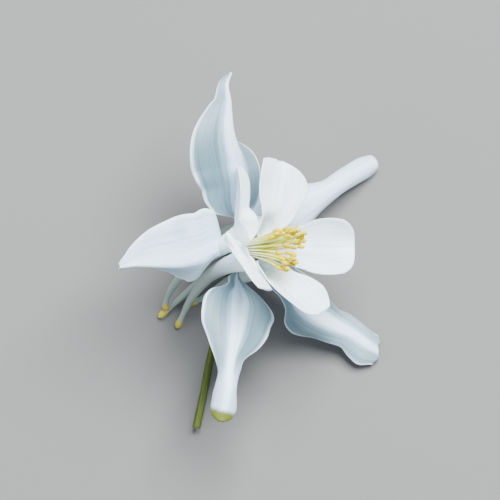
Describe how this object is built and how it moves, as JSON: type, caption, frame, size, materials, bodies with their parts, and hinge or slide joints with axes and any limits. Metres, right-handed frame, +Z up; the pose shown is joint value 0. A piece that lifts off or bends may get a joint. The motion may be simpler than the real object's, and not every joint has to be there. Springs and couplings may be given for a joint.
{
  "type": "columbine flower",
  "caption": "Cut columbine flower lying on its spurs and sepal tips: white sepals, spurred petals, yellow stamens, green stem.",
  "frame": {"origin": "middle of the flower's bounding box, on the surface it lies on", "axes": "+Z up from the surface; +Y along the longest extent, from the cut end of the stem to the tip of the upper sepal; +X to the side that the flower's face leans to"},
  "size_m": [0.052, 0.0688, 0.042],
  "materials": {
    "sepal_white": "thin white petal tissue with fine lengthwise veins, cool blue-grey in its shaded folds",
    "petal_white": "thin white petal tissue, greenish grey along the spurs and yellow-green at their knobs",
    "stamen_yellow": "pale yellow filaments with dusty golden anthers",
    "carpel_green": "soft, matt, finely haired",
    "receptacle_green": "soft, matt",
    "stem_green": "soft satin green stalk"
  },
  "bodies": {
    "root": {"stem": "stem_green", "receptacle": "receptacle_green", "sepal_1": "sepal_white", "sepal_2": "sepal_white", "sepal_3": "sepal_white", "sepal_4": "sepal_white", "sepal_5": "sepal_white", "petal_1": "petal_white", "petal_2": "petal_white", "petal_3": "petal_white", "petal_4": "petal_white", "petal_5": "petal_white", "carpel_1": "carpel_green", "carpel_2": "carpel_green", "carpel_3": "carpel_green", "carpel_4": "carpel_green", "carpel_5": "carpel_green", "stamen_01": "stamen_yellow", "stamen_02": "stamen_yellow", "stamen_03": "stamen_yellow", "stamen_04": "stamen_yellow", "stamen_05": "stamen_yellow", "stamen_06": "stamen_yellow", "stamen_07": "stamen_yellow", "stamen_08": "stamen_yellow", "stamen_09": "stamen_yellow", "stamen_10": "stamen_yellow", "stamen_11": "stamen_yellow", "stamen_12": "stamen_yellow", "stamen_13": "stamen_yellow", "stamen_14": "stamen_yellow", "stamen_15": "stamen_yellow", "stamen_16": "stamen_yellow", "stamen_17": "stamen_yellow", "stamen_18": "stamen_yellow", "stamen_19": "stamen_yellow", "stamen_20": "stamen_yellow", "stamen_21": "stamen_yellow", "stamen_22": "stamen_yellow", "stamen_23": "stamen_yellow", "stamen_24": "stamen_yellow", "stamen_25": "stamen_yellow", "stamen_26": "stamen_yellow", "stamen_27": "stamen_yellow", "stamen_28": "stamen_yellow", "stamen_29": "stamen_yellow", "stamen_30": "stamen_yellow", "stamen_31": "stamen_yellow", "stamen_32": "stamen_yellow", "stamen_33": "stamen_yellow", "stamen_34": "stamen_yellow", "stamen_35": "stamen_yellow", "stamen_36": "stamen_yellow", "stamen_37": "stamen_yellow", "stamen_38": "stamen_yellow", "stamen_39": "stamen_yellow", "stamen_40": "stamen_yellow"}
  },
  "joints": []
}
